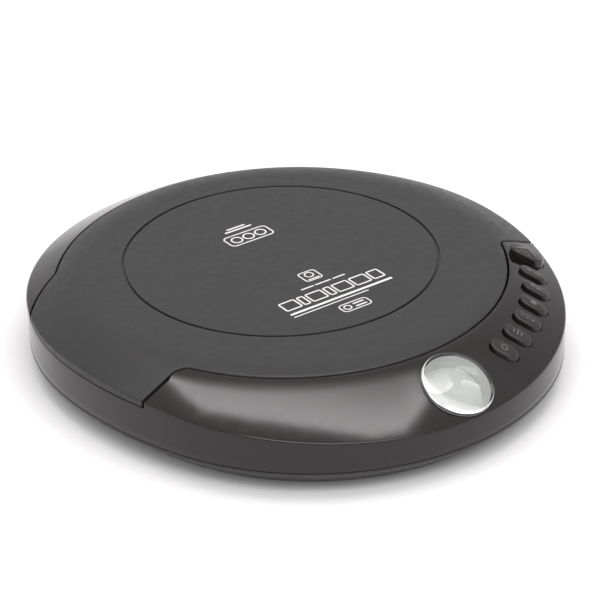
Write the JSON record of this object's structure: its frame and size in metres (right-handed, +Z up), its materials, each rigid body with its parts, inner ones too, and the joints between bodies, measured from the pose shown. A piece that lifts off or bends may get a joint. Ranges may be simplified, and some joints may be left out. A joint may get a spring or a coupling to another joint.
{
  "type": "portable cd player",
  "caption": "Egg-shaped battery disc player with a domed hinged lid, front keys, round display window and side jacks.",
  "frame": {"origin": "under the middle of the case, on the surface it stands on", "axes": "+Z up, display and nose towards -Y, lid hinge towards +Y, jacks towards +X"},
  "size_m": [0.15, 0.163, 0.0282],
  "materials": {
    "lid_plastic": "fine satin, dark grey",
    "case_plastic": "dark brown-grey lacquer",
    "tray_plastic": "black, fine texture",
    "base_plastic": "dark grey",
    "key_plastic": "dark satin",
    "button_plastic": "dark satin",
    "door_plastic": "dark grey",
    "black_plastic": "black",
    "white_plastic": "natural white",
    "clear_plastic": "clear",
    "rubber": "black",
    "steel": "bright",
    "polished_steel": "polished",
    "motor_can": "plated",
    "brass": "plain",
    "board": "green lacquer over laminate",
    "chip": "black resin",
    "capacitor": "dark blue sleeve",
    "display": "pale grey-green",
    "lens_glass": "coated"
  },
  "bodies": {
    "case": {"hinge_pins": "polished_steel", "top_case": "case_plastic", "disc_tray": "tray_plastic", "hinge_trough": "tray_plastic", "bottom_case": "base_plastic", "rubber_feet": "rubber", "case_screws": "steel", "battery_contacts": "steel", "battery_springs": "steel", "main_board": "board", "board_chips": "chip", "board_capacitors": "capacitor", "key_board": "board", "key_switches": "black_plastic", "headphone_jack": "black_plastic", "dc_jack": "black_plastic", "dc_jack_pin": "polished_steel", "volume_base": "black_plastic", "lcd_lens": "clear_plastic", "lcd_frame": "white_plastic", "lcd_glass": "display", "lcd_connector": "rubber", "latch_bracket": "black_plastic", "open_spring": "steel", "mechanism_plate": "steel", "damper_rings": "rubber", "damper_screws": "steel", "guide_rods": "polished_steel", "spindle_motor": "motor_can", "sled_motor": "motor_can"},
    "lid": {"lid": "lid_plastic", "lid_liner": "black_plastic"},
    "open_press": {"open_button": "button_plastic"},
    "latch": {"lid_latch": "black_plastic"},
    "door": {"battery_door": "door_plastic"},
    "spindle": {"turntable": "black_plastic", "hub_claws": "white_plastic", "disc_grip_ring": "rubber", "motor_shaft": "polished_steel"},
    "sled": {"pickup_body": "black_plastic", "screw_follower": "white_plastic", "lens_holder": "black_plastic", "objective_lens": "lens_glass"},
    "screw": {"lead_screw": "polished_steel"},
    "wheel": {"volume_wheel": "black_plastic"},
    "mode_key_press": {"mode_key": "key_plastic"},
    "bass_key_press": {"bass_key": "key_plastic"},
    "program_key_press": {"program_key": "key_plastic"},
    "stop_key_press": {"stop_key": "key_plastic"},
    "skip_key_press": {"skip_key": "key_plastic"},
    "play_key_press": {"play_key": "key_plastic"}
  },
  "joints": [
    {"name": "lid_hinge", "type": "hinge", "parent": "case", "child": "lid", "pos_m": [0, 0.061, 0.0242], "axis": [-1, 0, 0], "range_deg": [0, 60]},
    {"name": "open_slide", "type": "slide", "parent": "case", "child": "open_press", "axis": [0, 0, -1], "range_m": [0, 0.0013], "stiffness_N_per_m": 600, "deforming": ["open_spring"]},
    {"name": "latch_slide", "type": "slide", "parent": "case", "child": "latch", "axis": [0.8576, -0.5144, 0], "range_m": [0, 0.0013]},
    {"name": "door_slide", "type": "slide", "parent": "case", "child": "door", "axis": [0, 1, 0], "range_m": [0, 0.055]},
    {"name": "turntable_spin", "type": "hinge", "parent": "case", "child": "spindle", "pos_m": [0, 0.00275, 0.0195], "axis": [0, 0, 1], "continuous": true},
    {"name": "screw_spin", "type": "hinge", "parent": "case", "child": "screw", "pos_m": [-0.03, -0.01675, 0.009], "axis": [1, 0, 0], "range_deg": [0, 3600]},
    {"name": "sled_slide", "type": "slide", "parent": "case", "child": "sled", "axis": [-1, 0, 0], "range_m": [0, 0.032]},
    {"name": "volume_spin", "type": "hinge", "parent": "case", "child": "wheel", "pos_m": [0.066, -0.012, 0.0116], "axis": [0, 0, 1], "range_deg": [-140, 140]},
    {"name": "mode_press", "type": "slide", "parent": "case", "child": "mode_key_press", "axis": [0, 0, -1], "range_m": [0, 0.0006], "stiffness_N_per_m": 500},
    {"name": "bass_press", "type": "slide", "parent": "case", "child": "bass_key_press", "axis": [0, 0, -1], "range_m": [0, 0.0006], "stiffness_N_per_m": 500},
    {"name": "program_press", "type": "slide", "parent": "case", "child": "program_key_press", "axis": [0, 0, -1], "range_m": [0, 0.0006], "stiffness_N_per_m": 500},
    {"name": "stop_press", "type": "slide", "parent": "case", "child": "stop_key_press", "axis": [0, 0, -1], "range_m": [0, 0.0006], "stiffness_N_per_m": 500},
    {"name": "skip_press", "type": "slide", "parent": "case", "child": "skip_key_press", "axis": [0, 0, -1], "range_m": [0, 0.0006], "stiffness_N_per_m": 500},
    {"name": "play_press", "type": "slide", "parent": "case", "child": "play_key_press", "axis": [0, 0, -1], "range_m": [0, 0.0006], "stiffness_N_per_m": 500}
  ],
  "couplings": [
    {"joint": "latch_slide", "follows": "open_slide", "ratio": 1},
    {"joint": "screw_spin", "follows": "sled_slide", "rad_per_m": 1963.5}
  ]
}
